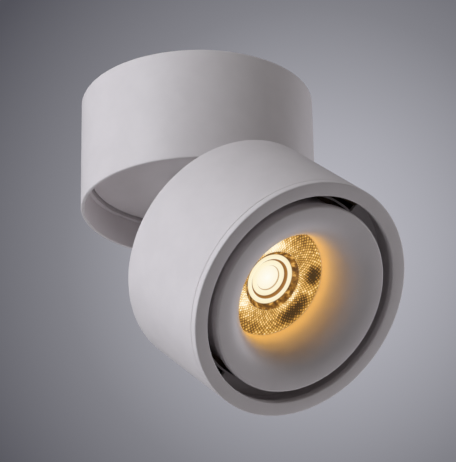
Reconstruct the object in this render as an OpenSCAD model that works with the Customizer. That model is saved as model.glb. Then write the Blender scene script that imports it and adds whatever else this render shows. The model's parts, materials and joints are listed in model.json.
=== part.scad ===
// Twin-cylinder ceiling spotlight: a fixed canister and a head that swivels and tilts on it.
// Origin at the centre of the ceiling face, +Z up, so the light hangs below z = 0.
// The head is modelled hanging straight down, and head_pose() then tilts it about the hinge pin.

/* [Canister] */
// Outside diameter of the canister and of the head
body_d = 100; // [96:1:120]
// Height of the canister
base_h = 50; // [48:1:70]
// Wall of the canister
base_wall = 1.5; // [1.2:0.1:1.8]
// Chamfer on the outer edges
edge_chamfer = 0.4; // [0.2:0.1:0.6]
// Height of the swivel plate's face above the lower rim
cavity_h = 14; // [13:0.5:16]
// Radial width of the ledge round the swivel plate
ledge_w = 2; // [1.5:0.25:3]
// Thickness of the ledge
ledge_t = 3.5; // [3:0.25:4]
// How far the ledge's face lies below the swivel plate's face
ledge_drop = 1.2; // [0.5:0.1:1.5]
// Open ring between the swivel plate and the ledge
plate_gap = 1.2; // [0.6:0.1:2]

/* [Ceiling plate] */
// Thickness of the plate that is screwed to the ceiling
ceiling_t = 1.5; // [1.2:0.1:2.5]
// Distance between the two ceiling screws
slot_spacing = 60; // [50:1:66]
// Length of each screw slot
slot_l = 9; // [7:0.5:12]
// Width of each screw slot
slot_w = 4.5; // [4:0.25:5.5]
// Diameter of the hole for the mains cable
cable_hole_d = 20; // [16:1:24]
// Bore of the rubber ring in that hole
grommet_bore_d = 14; // [10:0.5:14]
// Height of the turned-down tabs
tab_h = 12; // [10:1:16]
// Width of the turned-down tabs
tab_w = 12; // [9:1:16]
// Direction of the side screws, seen from above
side_screw_angle = 47.5; // [0:0.5:90]
// Depth of the side screws below the ceiling
side_screw_z = 7; // [5:0.5:9]

/* [Partition and driver] */
// Thickness of the fixed partition
partition_t = 2; // [1.5:0.25:3]
// Gap between the swivel plate and the partition
hub_h = 5.3; // [4.5:0.1:6.5]
// Length of the driver case
driver_l = 50; // [40:1:56]
// Width of the driver case
driver_w = 25; // [20:1:27]
// Height of the driver case
driver_h = 18; // [14:0.5:18.5]
// Thickness of the driver's cover
driver_cover_t = 1.6; // [1:0.2:2]
// Length of the terminal block
terminal_l = 30; // [24:1:36]
// Width of the terminal block
terminal_w = 14; // [12:1:16]
// Height of the terminal block
terminal_h = 12; // [10:1:15]

/* [Swivel] */
// Thickness of the swivel plate
plate_t = 2; // [1.5:0.25:2.5]
// Radius of the hub on the swivel plate
hub_r = 10; // [9:0.5:14]
// Outside diameter of the hollow nipple
nipple_d = 10; // [8:1:12]
// Bore of the hollow nipple
nipple_bore_d = 7; // [5:0.5:7.5]
// Distance of the swivel stops from the axis
stop_radius = 30; // [26:0.5:33]
// Swivel each way from the middle
swivel_limit = 175; // [170:0.5:176]

/* [Hinge] */
// Distance of the hinge pin from the canister's axis
hinge_x = 37.5; // [37:0.1:38]
// Height of the hinge pin above the canister's lower rim
hinge_rise = 7.2; // [6.8:0.1:7.6]
// Open slot between canister and head when the head hangs straight down
shadow_gap = 2.7; // [2.5:0.1:3]
// Tilt of the head in the rest pose
rest_tilt = 49.6; // [0:0.2:65]
// Diameter of the hinge pin
pin_d = 4; // [3:0.5:4.5]
// Radius of the eyes round the pin
eye_r = 4; // [3.5:0.1:4.4]
// Thickness of each ear of the bracket
ear_t = 2.5; // [2:0.25:3]
// Distance between the two ears
ear_gap = 16; // [14:0.5:18]
// Thickness of the bracket's flange
flange_t = 1.6; // [1.2:0.1:2]
// Length of the bracket's flange, from the pin inwards
flange_l = 16; // [15:0.5:18]
// Thickness of the arm's web
web_t = 5; // [4:0.5:6]
// Width of the arm's web
web_w = 12; // [9:0.5:13]
// How far the arm's web is set inwards from the pin
web_offset = 4; // [4:0.25:6]
// Length of the arm's foot
foot_l = 20; // [17:0.5:24]
// Width of the arm's foot
foot_w = 18; // [16:0.5:22]
// Thickness of the arm's foot
foot_t = 3; // [2.5:0.25:3.5]

/* [Head] */
// Length of the head
head_l = 52.5; // [52:0.5:64]
// Wall of the head's shell
head_wall = 1.5; // [1.2:0.1:1.6]
// Depth of the recess behind the head's back plate
recess = 6; // [5.5:0.25:7]
// Thickness of the back plate
back_t = 1.5; // [1.2:0.1:2]
// Radial width of the clamping ring in the shell
shell_ledge_w = 4; // [3:0.25:5]
// Thickness of the clamping ring
shell_ledge_t = 2.5; // [2:0.25:3]

/* [Heat sink] */
// Thickness of the heat sink's flange
sink_t = 4; // [3:0.25:5]
// Number of fin places, three of which are posts
fin_count = 24; // [18:3:30]
// Thickness of a fin
fin_t = 1.6; // [1.2:0.1:2]
// Gap between the fins and the optic frame
fin_gap = 2.5; // [2.2:0.1:6]
// Radius at which the fins begin
fin_inner_r = 27; // [26:0.5:32]
// Radius of the three posts
post_r = 3.5; // [3:0.25:4]

/* [Bezel and baffle] */
// Height of the bezel's visible band
bezel_h = 3; // [2.5:0.25:5]
// Radial width of the bezel's band
bezel_w = 5.8; // [5:0.1:7]
// Depth to the back of the bezel's sleeve
sleeve_depth = 14; // [10:0.5:18]
// Wall of the bezel's sleeve
sleeve_wall = 2; // [1.2:0.1:2.2]
// Thickness of the flange at the sleeve's back
sleeve_floor_t = 1.5; // [1:0.25:2]
// Centres of the two slots in that flange
slot_angles = [8, 205];
// Angle that each slot spans
slot_span = 22; // [16:1:30]
// Seam between the bezel and the head's shell
seam = 0.15; // [0.1:0.05:0.4]
// Open ring between the bezel and the baffle
ring_gap = 4.45; // [3.6:0.05:5.2]
// How far the baffle's face lies behind the bezel's
baffle_inset = 0.45; // [0.2:0.05:1]
// Diameter of the aperture in front of the lens
aperture_d = 46.6; // [42:0.2:47]
// Depth of the aperture behind the head's front
aperture_depth = 21.5; // [20:0.25:23]
// Exponent of the throat's curve: 2 is an ellipse, more is squarer
throat_power = 2.7; // [2:0.1:3.5]
// Wall of the baffle
baffle_wall = 1.5; // [1.2:0.1:1.8]
// Rounding of the baffle's outer edge
baffle_edge_r = 1; // [0.5:0.1:1.4]
// Thickness of the frame that carries baffle and lens
frame_t = 2; // [1.5:0.25:2.5]

/* [Lens and LED] */
// Diameter of the lens body at its front
lens_d = 46; // [42:0.2:46.4]
// Radial width of the lens's flange
lens_flange_w = 2.2; // [1.5:0.1:2.4]
// Thickness of the lens's flange
lens_flange_t = 1.5; // [1:0.1:2]
// Diameter of the lens at its small end
lens_tip_d = 21; // [19:0.5:24]
// Diameter of the well in the lens's front, at its bottom
lens_well_d = 21.4; // [18:0.2:22]
// How much wider the well's mouth is than its bottom, on each side
lens_well_flare = 1.6; // [0.4:0.1:2]
// Depth of the well in the lens's front
lens_well_depth = 2.3; // [1.5:0.1:3]
// Wall of the cup that holds the lens
cup_wall = 1.2; // [0.8:0.1:1.4]
// Side of the LED's square board
cob_side = 19; // [16:0.5:20]
// Thickness of the LED's board
cob_t = 1.5; // [1:0.1:2]
// Diameter of the LED's glowing face
emitter_d = 14.5; // [10:0.5:15]
// Thickness of the LED's phosphor layer
emitter_t = 0.4; // [0.3:0.1:0.5]
// Thickness of the pad under the LED's board
pad_t = 0.5; // [0.3:0.1:1]
// Diameter of the LED's holder
holder_d = 38; // [34:0.5:44]
// Height of the LED's holder
holder_h = 4; // [3.5:0.25:5]

/* [Fits and screws] */
// Radial clearance where one piece turns on another
running_fit = 0.05; // [0.02:0.01:0.09]
// Clearance between pieces that are pushed together
push_fit = 0.3; // [0.2:0.05:0.4]
// Diameter of the small screws
screw_d = 3; // [2.5:0.5:3]
// Diameter of the larger screws
big_screw_d = 4; // [3.5:0.5:4]
// Radial clearance round a screw's thread
screw_fit = 0.05; // [0.02:0.01:0.09]

/* [Hidden] */
body_r = body_d / 2;
base_in_r = body_r - base_wall;
head_in_r = body_r - head_wall;
rim_z = -base_h;
face_z = rim_z + cavity_h;
ledge_z = face_z - ledge_drop;
ledge_in_r = base_in_r - ledge_w;
plate_r = ledge_in_r - plate_gap;
partition_z = face_z + plate_t + hub_h;
deck_z = partition_z + partition_t;
partition_r = base_in_r - push_fit;
nipple_r = nipple_d / 2;
screw_r = screw_d / 2;
big_r = big_screw_d / 2;
pin_r = pin_d / 2;
head_ratio = 1.85;
head_screw = screw_r * 1.2;
big_head = big_r * 1.1;
thread_l = 5;
hole_l = 6;
lug_angles = [90, 210, 330];
lug_r = 5;
lug_reach = 6;
bond = 0.05;
stop_r = stop_radius * sin((180 - swivel_limit) / 2) - running_fit;
washer_t = 0.5;
grommet_lip = 1.2;
grommet_over = 1.5;
side_screw_l = 8;
side_screw_inset = 0.6;
socket_l = 3;
cover_lip = 2;
driver_wall = 1.5;
driver_lead_r = 3;
driver_screw_inset = 5;
driver_screw_x = driver_l / 2 - driver_screw_inset;
wire_r = 2.2;
terminal_sunk = 1.2;
nipple_head_t = 2.5;
nipple_rise = 9;
nut_washer_t = 1;
nipple_nut_h = 4;
bracket_screw_inset = 4;
bracket_screw_side = 3;
bracket_screw_x = hinge_x - flange_l + bracket_screw_inset;
bracket_screw_y = ear_gap / 2 - bracket_screw_side;
bracket_nut_h = 1.8;
ear_toe = 5;
pin_head_h = 1.8;
pin_nut_h = 3.2;
gusset_l = 4.5;
gusset_h = 6;
gusset_t = 2;
lead_x = -5;
lead_hole_r = 5;
lead_r = 2.6;
hinge_z = rim_z + hinge_rise;
back_z = rim_z - shadow_gap;
front_z = back_z - head_l;
recess_z = back_z - recess;
back_in_z = recess_z - back_t;
sink_top_z = back_in_z - shell_ledge_t;
sink_z = sink_top_z - sink_t;
insert_r = head_in_r - push_fit;
sink_boss_r = head_in_r - shell_ledge_w - push_fit;
post_inset = 5.5;
post_ring = head_in_r - post_inset;
post_angles = [60, 180, 300];
frame_z = front_z + aperture_depth + lens_flange_t;
frame_top_z = frame_z + frame_t;
fin_h = sink_z - frame_top_z - fin_gap;
bezel_r = body_r - bezel_w;
baffle_r = bezel_r - ring_gap;
aperture_r = aperture_d / 2;
sleeve_r = insert_r - sleeve_wall;
baffle_rim_h = 4;
baffle_tube_r = baffle_r - baffle_wall - push_fit;
boss_r = screw_r + 1.2;
sleeve_fit = 0.2;
boss_h = 8;
leaf_t = 0.5;
leaf_w = 8;
leaf_low_z = front_z + 8;
leaf_foot = 3;
hook = 2;
baffle_fix_angles = [0, 120, 240];
lens_r = lens_d / 2;
lens_front_z = front_z + aperture_depth;
holder_z = sink_z - holder_h;
lens_tip_z = holder_z;
cup_rim_r = lens_r + lens_flange_w - push_fit;
frame_bore_r = lens_r + lens_flange_w + push_fit;
baffle_fix_ring = (frame_bore_r + baffle_tube_r - baffle_wall) / 2;
cob_z = sink_z - pad_t - cob_t;
web_x = hinge_x - web_offset - web_t / 2;
foot_x = web_x + web_t / 2 - foot_l / 2;
foot_screw_side = 4.5;
foot_screw_inset = 5;
foot_screw_y = foot_w / 2 - foot_screw_side;
foot_screw_x = foot_x - foot_l / 2 + foot_screw_inset;
back_screw_inset = 10.2;
back_screw_ring = sink_boss_r - back_screw_inset;
holder_screw_inset = 3.5;
holder_ring = holder_d / 2 - holder_screw_inset;
holder_lip = 1;
holder_angles = [45, 225];
holder_sunk = head_screw + 0.2;
back_screw_angles = [90, 210, 330];
driver_gap = 1;
terminal_gap = 8;
driver_y = -hub_r - driver_gap - driver_w / 2;
terminal_y = hub_r + terminal_gap + terminal_w / 2;
$fn = 96;

// A ring standing on z = 0
module ring(outer_r, inner_r, h) {
    rotate_extrude() translate([inner_r, 0]) square([outer_r - inner_r, h]);
}

// A tube standing on z = 0, with its outer edges chamfered at the chosen ends
module shell_tube(outer_r, inner_r, h, low = edge_chamfer, high = edge_chamfer) {
    rotate_extrude() polygon([[inner_r, 0], [outer_r - low, 0], [outer_r, low], [outer_r, h - high],
        [outer_r - high, h], [inner_r, h]]);
}

// Copies its children at each of the angles, at one radius
module around(angles, radius) {
    for (a = angles) rotate([0, 0, a]) translate([radius, 0, 0]) children();
}

// A pan-headed screw with its head's seat at z = 0 and its shaft going down
module pan_screw(r, length, head_h = head_screw) {
    difference() {
        union() {
            translate([0, 0, -length]) cylinder(r = r, h = length);
            cylinder(r = r * head_ratio, h = head_h);
        }
        for (a = [0, 90]) rotate([0, 0, a]) translate([-r, -r * 0.2, head_h * 0.45])
            cube([2 * r, r * 0.4, head_h]);
    }
}

// The same screw the other way up, with its shaft going up
module pan_screw_up(r, length, head_h = head_screw) {
    mirror([0, 0, 1]) pan_screw(r, length, head_h);
}

// A slot with round ends along X, through the thickness h
module slot_cut(length, width, h) {
    for (s = [-1, 1]) translate([s * (length - width) / 2, 0, 0]) cylinder(r = width / 2, h = h);
    translate([-(length - width) / 2, -width / 2, 0]) cube([length - width, width, h]);
}

// Tilts the head, drawn hanging straight down, about the hinge pin
module head_pose() {
    translate([hinge_x, 0, hinge_z]) rotate([0, -rest_tilt, 0]) translate([-hinge_x, 0, -hinge_z]) children();
}

// Plate on the ceiling, with two slots, the cable hole and two tabs for the side screws
module ceiling_plate() color("silver") difference() {
    tab_r = base_in_r - push_fit;
    union() {
        translate([0, 0, -ceiling_t]) cylinder(r = tab_r - ceiling_t, h = ceiling_t);
        around([side_screw_angle, side_screw_angle + 180], 0) intersection() {
            translate([0, -tab_w / 2, -tab_h]) cube([body_r, tab_w, tab_h]);
            union() {
                translate([0, 0, -tab_h]) ring(tab_r, tab_r - ceiling_t, tab_h);
                translate([0, 0, -ceiling_t]) cylinder(r = tab_r, h = ceiling_t);
            }
        }
    }
    for (s = [-1, 1]) translate([s * slot_spacing / 2, 0, -ceiling_t - 1])
        slot_cut(slot_l, slot_w, ceiling_t + 2);
    translate([0, 0, -ceiling_t - 1]) cylinder(d = cable_hole_d, h = ceiling_t + 2);
    around([side_screw_angle, side_screw_angle + 180], 0) translate([tab_r - 2 * ceiling_t, 0, -side_screw_z])
        rotate([0, 90, 0]) cylinder(r = big_r + screw_fit, h = 3 * ceiling_t);
}

// Rubber ring in the ceiling plate's cable hole
module ceiling_grommet() color("dimgray") rotate_extrude() {
    hole_r = cable_hole_d / 2;
    bore_r = grommet_bore_d / 2;
    seat = -ceiling_t - screw_fit;
    polygon([[bore_r, 0], [hole_r - screw_fit, 0], [hole_r - screw_fit, seat], [hole_r + grommet_over, seat],
        [hole_r + grommet_over, seat - grommet_lip], [bore_r, seat - grommet_lip]]);
}

// Two headless screws that hold the canister to the ceiling plate's tabs
module side_screws() color("silver") around([side_screw_angle, side_screw_angle + 180], 0) {
    screw_end = body_r - side_screw_inset;
    translate([0, 0, -side_screw_z]) rotate([0, 90, 0]) difference() {
        translate([0, 0, screw_end - side_screw_l]) cylinder(r = big_r, h = side_screw_l);
        translate([0, 0, screw_end - socket_l]) cylinder(r = big_r / 2, h = socket_l + 1, $fn = 6);
    }
}

// Canister: a tube with two holes for the side screws
module base_shell() color("white") difference() {
    translate([0, 0, rim_z]) shell_tube(body_r, base_in_r, base_h);
    around([side_screw_angle, side_screw_angle + 180], 0) translate([body_r - 2 * base_wall, 0, -side_screw_z])
        rotate([0, 90, 0]) cylinder(r = big_r + screw_fit, h = 3 * base_wall);
}

// Ring bonded into the canister: the ledge round the swivel plate, and three lugs for the partition
module cavity_ring() color("white") difference() {
    ring_r = base_in_r - bond;
    root_z = ledge_z + ledge_t / 2;
    lug_h = partition_z - root_z;
    union() {
        translate([0, 0, ledge_z]) ring(ring_r, ledge_in_r, ledge_t);
        intersection() {
            around(lug_angles, base_in_r - lug_r) translate([0, 0, root_z]) {
                cylinder(r = lug_r, h = lug_h);
                translate([0, -lug_r, 0]) cube([lug_r, 2 * lug_r, lug_h]);
            }
            translate([0, 0, rim_z]) cylinder(r = ring_r, h = base_h);
        }
    }
    translate([0, 0, ledge_z - 1]) cylinder(r = ledge_in_r, h = ledge_t + 1);
    around(lug_angles, base_in_r - lug_r) translate([0, 0, partition_z - lug_reach])
        cylinder(r = screw_r + screw_fit, h = lug_reach + 1);
}

// Fixed partition that carries the driver and the swivel, with a stop stud on its underside
module partition() color("gainsboro") {
    difference() {
        translate([0, 0, partition_z]) cylinder(r = partition_r, h = partition_t);
        translate([0, 0, partition_z - 1]) cylinder(r = nipple_r + running_fit, h = partition_t + 2);
        around(lug_angles, base_in_r - lug_r) translate([0, 0, partition_z - 1])
            cylinder(r = screw_r + screw_fit, h = partition_t + 2);
        for (s = [-1, 1]) translate([s * driver_screw_x, driver_y, partition_z - 1])
            cylinder(r = screw_r + screw_fit, h = partition_t + 2);
    }
    translate([-stop_radius, 0, face_z + plate_t + washer_t])
        cylinder(r = stop_r, h = hub_h - washer_t + partition_t / 2);
}

// Three screws that hold the partition to the canister's lugs
module partition_screws() color("silver") around(lug_angles, base_in_r - lug_r)
    translate([0, 0, deck_z]) pan_screw(screw_r, partition_t + lug_reach - 1);

// Lower case of the LED driver, open at the top, standing on the partition
module driver_case() color("whitesmoke") translate([0, driver_y, deck_z]) difference() {
    case_h = driver_h - driver_cover_t;
    wall = driver_wall;
    translate([-driver_l / 2, -driver_w / 2, 0]) cube([driver_l, driver_w, case_h]);
    translate([-driver_l / 2 + wall, -driver_w / 2 + wall, wall])
        cube([driver_l - 2 * wall, driver_w - 2 * wall, case_h]);
    for (s = [-1, 1]) translate([s * driver_screw_x, 0, -1]) cylinder(r = screw_r + screw_fit, h = wall + 2);
    translate([-driver_l / 2 - 1, 0, case_h / 2]) rotate([0, 90, 0])
        cylinder(r = driver_lead_r, h = driver_l + 2);
}

// Snap-on cover of the driver
module driver_cover() color("white") translate([0, driver_y, deck_z + driver_h - driver_cover_t]) {
    lip = driver_wall + push_fit;
    inner = lip + cover_lip / 2;
    translate([-driver_l / 2, -driver_w / 2, 0]) cube([driver_l, driver_w, driver_cover_t]);
    difference() {
        translate([-driver_l / 2 + lip, -driver_w / 2 + lip, -cover_lip])
            cube([driver_l - 2 * lip, driver_w - 2 * lip, cover_lip + driver_cover_t / 2]);
        translate([-driver_l / 2 + inner, -driver_w / 2 + inner, -cover_lip - 1])
            cube([driver_l - 2 * inner, driver_w - 2 * inner, cover_lip + 1]);
    }
}

// Two screws that hold the driver to the partition
module driver_screws() color("silver") for (s = [-1, 1])
    translate([s * driver_screw_x, driver_y, deck_z + driver_wall])
        pan_screw(screw_r, partition_t + driver_wall);

// Three-pole terminal block for the mains
module terminal_block() color("ivory") translate([0, terminal_y, deck_z]) difference() {
    translate([-terminal_l / 2, -terminal_w / 2, 0]) cube([terminal_l, terminal_w, terminal_h]);
    for (i = [-1, 0, 1]) translate([i * terminal_l / 3, 0, 0]) {
        translate([0, -terminal_w / 2 - 1, terminal_h * 0.4]) rotate([-90, 0, 0])
            cylinder(r = wire_r, h = terminal_w + 2);
        for (s = [-1, 1]) translate([0, s * terminal_w / 4, terminal_h * 0.4])
            cylinder(r = screw_r + push_fit, h = terminal_h);
    }
}

// Clamping screws of the terminal block
module terminal_screws() color("gold") translate([0, terminal_y, deck_z]) {
    for (i = [-1, 0, 1], s = [-1, 1]) translate([i * terminal_l / 3, s * terminal_w / 4, 0]) difference() {
        translate([0, 0, terminal_h * 0.4 + wire_r])
            cylinder(r = screw_r, h = terminal_h * 0.6 - wire_r - terminal_sunk);
        translate([-2 * screw_r, -screw_r * 0.2, terminal_h - terminal_sunk * 2])
            cube([4 * screw_r, screw_r * 0.4, 2 * terminal_sunk]);
    }
}

// Hollow nipple: the swivel's axle, with its head under the swivel plate
module hollow_nipple() color("silver") difference() {
    low = face_z - running_fit - nipple_head_t;
    union() {
        translate([0, 0, low]) cylinder(r = hub_r, h = nipple_head_t);
        translate([0, 0, low]) cylinder(r = nipple_r, h = deck_z + nipple_rise - low);
    }
    translate([0, 0, low - 1]) cylinder(r = nipple_bore_d / 2, h = deck_z + nipple_rise - low + 2);
}

// Nut and washer that clamp the nipple to the partition
module nipple_nut() color("silver") translate([0, 0, deck_z]) difference() {
    union() {
        cylinder(r = hub_r, h = nut_washer_t);
        translate([0, 0, nut_washer_t / 2])
            cylinder(r = nipple_r * 1.62, h = nut_washer_t / 2 + nipple_nut_h, $fn = 6);
    }
    translate([0, 0, -1]) cylinder(r = nipple_r + screw_fit, h = nut_washer_t + nipple_nut_h + 2);
}

// Friction washer between the swivel plate's hub and the partition
module friction_washer() color("ivory") translate([0, 0, partition_z - washer_t])
    ring(hub_r + 2, nipple_r + running_fit, washer_t);

// Swivel plate that closes the canister and turns with the head, with its hub and stop tab
module swivel_plate() color("white") difference() {
    union() {
        translate([0, 0, face_z]) cylinder(r = plate_r, h = plate_t);
        translate([0, 0, face_z]) cylinder(r = hub_r, h = plate_t + hub_h - washer_t - running_fit);
        translate([stop_radius, 0, face_z]) cylinder(r = stop_r, h = plate_t + hub_h - washer_t);
    }
    translate([0, 0, face_z - 1]) cylinder(r = nipple_r + running_fit, h = plate_t + hub_h + 2);
    for (s = [-1, 1]) translate([bracket_screw_x, s * bracket_screw_y, face_z - 1])
        cylinder(r = screw_r + screw_fit, h = plate_t + 2);
}

// Hinge bracket under the swivel plate: a flange with two ears that hold the pin
module hinge_bracket() color("white") difference() {
    eye_top = face_z - hinge_z;
    union() {
        translate([hinge_x - flange_l, -ear_gap / 2 - ear_t, face_z - flange_t])
            cube([flange_l + eye_r, ear_gap + 2 * ear_t, flange_t]);
        for (s = [-1, 1]) translate([hinge_x, s * (ear_gap / 2 + ear_t / 2), hinge_z]) rotate([90, 0, 0])
            translate([0, 0, -ear_t / 2]) {
                cylinder(r = eye_r, h = ear_t);
                translate([-eye_r, 0, 0]) cube([2 * eye_r, eye_top - flange_t / 2, ear_t]);
                translate([-eye_r - ear_toe, eye_top - flange_t - 1, 0])
                    cube([ear_toe + eye_r, flange_t / 2 + 1, ear_t]);
            }
    }
    translate([hinge_x, body_r, hinge_z]) rotate([90, 0, 0]) cylinder(r = pin_r + screw_fit, h = body_d);
    for (s = [-1, 1]) translate([bracket_screw_x, s * bracket_screw_y, face_z - flange_t - 1])
        cylinder(r = screw_r + screw_fit, h = flange_t + 2);
}

// Two screws that hold the bracket under the swivel plate, each with its nut
module bracket_screws() color("silver") for (s = [-1, 1])
    translate([bracket_screw_x, s * bracket_screw_y, face_z - flange_t]) {
        pan_screw_up(screw_r, flange_t + plate_t + bracket_nut_h + screw_r * 0.4);
        translate([0, 0, flange_t + plate_t]) cylinder(r = screw_r * 1.9, h = bracket_nut_h, $fn = 6);
    }

// Hinge pin with its head, through both ears and the arm's eye
module hinge_pin() color("silver") {
    half = ear_gap / 2 + ear_t;
    over = pin_nut_h * 1.25;
    translate([hinge_x, half + over, hinge_z]) rotate([90, 0, 0]) cylinder(r = pin_r, h = 2 * half + over);
    translate([hinge_x, -half, hinge_z]) rotate([90, 0, 0]) cylinder(r = pin_r * 1.8, h = pin_head_h);
}

// Locking nut on the hinge pin
module hinge_nut() color("silver") difference() {
    half = ear_gap / 2 + ear_t;
    translate([hinge_x, half, hinge_z]) rotate([-90, 0, 0]) cylinder(r = pin_r * 1.9, h = pin_nut_h, $fn = 6);
    translate([hinge_x, half - 1, hinge_z]) rotate([-90, 0, 0])
        cylinder(r = pin_r + screw_fit, h = pin_nut_h + 2);
}

// Two friction washers between the arm's eye and the ears
module hinge_washers() color("silver") for (s = [-1, 1])
    translate([hinge_x, s * (ear_gap / 2 - washer_t / 2), hinge_z]) rotate([90, 0, 0])
        translate([0, 0, -washer_t / 2]) ring(eye_r - 0.2, pin_r + running_fit, washer_t);

// Arm: an eye on the pin, a web set inwards so that it clears the rim, and a foot on the back plate
module hinge_arm() color("white") head_pose() difference() {
    eye_w = ear_gap - 2 * washer_t - 2 * running_fit;
    web_low = recess_z + foot_t / 2;
    union() {
        translate([hinge_x, eye_w / 2, hinge_z]) rotate([90, 0, 0]) cylinder(r = eye_r, h = eye_w);
        translate([web_x - web_t / 2, -web_w / 2, web_low]) cube([web_t, web_w, hinge_z + eye_r - web_low]);
        translate([web_x - web_t / 2, -web_w / 2, hinge_z]) cube([hinge_x - web_x + web_t / 2, web_w, eye_r]);
        translate([foot_x - foot_l / 2, -foot_w / 2, recess_z]) cube([foot_l, foot_w, foot_t]);
        for (s = [-1, 1]) translate([web_x - web_t / 2 + 0.5, s * (web_w - gusset_t) / 2 + gusset_t / 2,
            recess_z + foot_t / 2]) rotate([90, 0, 0])
                linear_extrude(gusset_t) polygon([[-gusset_l, 0], [0, 0], [0, gusset_h]]);
    }
    translate([hinge_x, body_r, hinge_z]) rotate([90, 0, 0]) cylinder(r = pin_r + running_fit, h = body_d);
    for (s = [-1, 1]) translate([foot_screw_x, s * foot_screw_y, recess_z - 1])
        cylinder(r = big_r + screw_fit, h = foot_t + 2);
}

// Two screws through the arm's foot and the back plate into the heat sink
module arm_screws() color("silver") head_pose() for (s = [-1, 1])
    translate([foot_screw_x, s * foot_screw_y, recess_z + foot_t])
        pan_screw(big_r, foot_t + back_t + thread_l, big_head);

// Shell of the head: a plain tube, open at the back
module head_shell() color("white") head_pose() translate([0, 0, front_z + bezel_h + seam])
    shell_tube(body_r, head_in_r, head_l - bezel_h - seam, low = 0.1);

// Ring bonded into the head's shell, clamped between the back plate and the heat sink
module clamp_ring() color("white") head_pose() translate([0, 0, sink_top_z])
    ring(head_in_r - bond, head_in_r - shell_ledge_w, shell_ledge_t);

// Back plate in the head's recess
module back_plate() color("white") head_pose() difference() {
    translate([0, 0, back_in_z]) cylinder(r = insert_r, h = back_t);
    for (s = [-1, 1]) translate([foot_screw_x, s * foot_screw_y, back_in_z - 1])
        cylinder(r = big_r + screw_fit, h = back_t + 2);
    around(back_screw_angles, back_screw_ring) translate([0, 0, back_in_z - 1])
        cylinder(r = screw_r + screw_fit, h = back_t + 2);
    translate([lead_x, 0, back_in_z - 1]) cylinder(r = lead_hole_r, h = back_t + 2);
}

// Three screws that hold the back plate to the heat sink
module back_plate_screws() color("silver") head_pose() around(back_screw_angles, back_screw_ring)
    translate([0, 0, recess_z]) pan_screw(screw_r, back_t + thread_l);

// Rubber grommet for the lead in the back plate
module back_grommet() color("dimgray") head_pose() translate([lead_x, 0, recess_z]) rotate_extrude()
    polygon([[lead_r, -back_t], [lead_hole_r - screw_fit, -back_t], [lead_hole_r - screw_fit, screw_fit],
        [lead_hole_r + grommet_over, screw_fit], [lead_hole_r + grommet_over, screw_fit + grommet_lip],
        [lead_r, screw_fit + grommet_lip]]);

// Heat sink: a flange clamped to the shell's ledge, with fins and three posts towards the front
module heat_sink() color("silver") head_pose() difference() {
    step = 360 / fin_count;
    union() {
        translate([0, 0, sink_z]) cylinder(r = insert_r, h = sink_t);
        translate([0, 0, sink_z]) cylinder(r = sink_boss_r, h = sink_t + shell_ledge_t);
        for (i = [0:fin_count - 1]) if (min([for (p = post_angles) abs(i * step - p)]) > step * 0.9 && i > 0)
            rotate([0, 0, i * step]) translate([fin_inner_r, -fin_t / 2, sink_z - fin_h])
                cube([insert_r - fin_t - fin_inner_r, fin_t, fin_h + sink_t / 2]);
        around(post_angles, post_ring) translate([0, 0, frame_top_z])
            cylinder(r = post_r, h = sink_z - frame_top_z + 1);
    }
    around(post_angles, post_ring) translate([0, 0, frame_top_z - 1])
        cylinder(r = screw_r + screw_fit, h = hole_l + 1);
    around(back_screw_angles, back_screw_ring) translate([0, 0, back_in_z - hole_l])
        cylinder(r = screw_r + screw_fit, h = hole_l + 1);
    for (s = [-1, 1]) translate([foot_screw_x, s * foot_screw_y, back_in_z - hole_l])
        cylinder(r = big_r + screw_fit, h = hole_l + 1);
    around(holder_angles, holder_ring) translate([0, 0, sink_z - 1])
        cylinder(r = screw_r + screw_fit, h = sink_t * 0.875 + 1);
    translate([lead_x, 0, sink_z - 1]) cylinder(r = lead_r, h = sink_t + shell_ledge_t + 2);
}

// Thermal pad between the LED board and the heat sink
module thermal_pad() color("lightsteelblue") head_pose()
    translate([-cob_side / 2, -cob_side / 2, sink_z - pad_t]) difference() {
        cube([cob_side, cob_side, pad_t]);
        translate([cob_side / 2 + lead_x, cob_side / 2, -1]) cylinder(r = lead_r, h = pad_t + 2);
    }

// Square board of the LED
module led_board() color("gainsboro") head_pose()
    translate([-cob_side / 2, -cob_side / 2, cob_z]) cube([cob_side, cob_side, cob_t]);

// Glowing phosphor face of the LED
module led_emitter() color("yellow") head_pose() translate([0, 0, cob_z - emitter_t])
    cylinder(d = emitter_d, h = emitter_t);

// Holder that clamps the LED board to the heat sink
module led_holder() color("white") head_pose() difference() {
    pocket = cob_side + 2 * push_fit;
    translate([0, 0, holder_z]) cylinder(d = holder_d, h = holder_h);
    translate([-pocket / 2, -pocket / 2, cob_z]) cube([pocket, pocket, holder_h]);
    translate([0, 0, holder_z - 1]) cylinder(d = emitter_d + 2 * holder_lip, h = holder_h + 2);
    around(holder_angles, holder_ring) translate([0, 0, holder_z - 1]) {
        cylinder(r = screw_r + screw_fit, h = holder_h + 2);
        cylinder(r = screw_r * head_ratio + push_fit, h = 1 + holder_sunk);
    }
}

// Two screws of the LED holder
module led_holder_screws() color("silver") head_pose() around(holder_angles, holder_ring)
    translate([0, 0, holder_z + holder_sunk]) pan_screw_up(screw_r, holder_h - holder_sunk + sink_t * 0.7);

// Cup that holds the lens over the LED
module lens_cup() color("white") head_pose() {
    tip_r = lens_tip_d / 2 + push_fit;
    low = lens_front_z + lens_flange_t;
    rotate_extrude() polygon([[lens_r + push_fit, low], [cup_rim_r, low], [cup_rim_r, low + cup_wall],
        [lens_r + cup_wall + push_fit, low + cup_wall], [tip_r + cup_wall, lens_tip_z], [tip_r, lens_tip_z]]);
}

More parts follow.
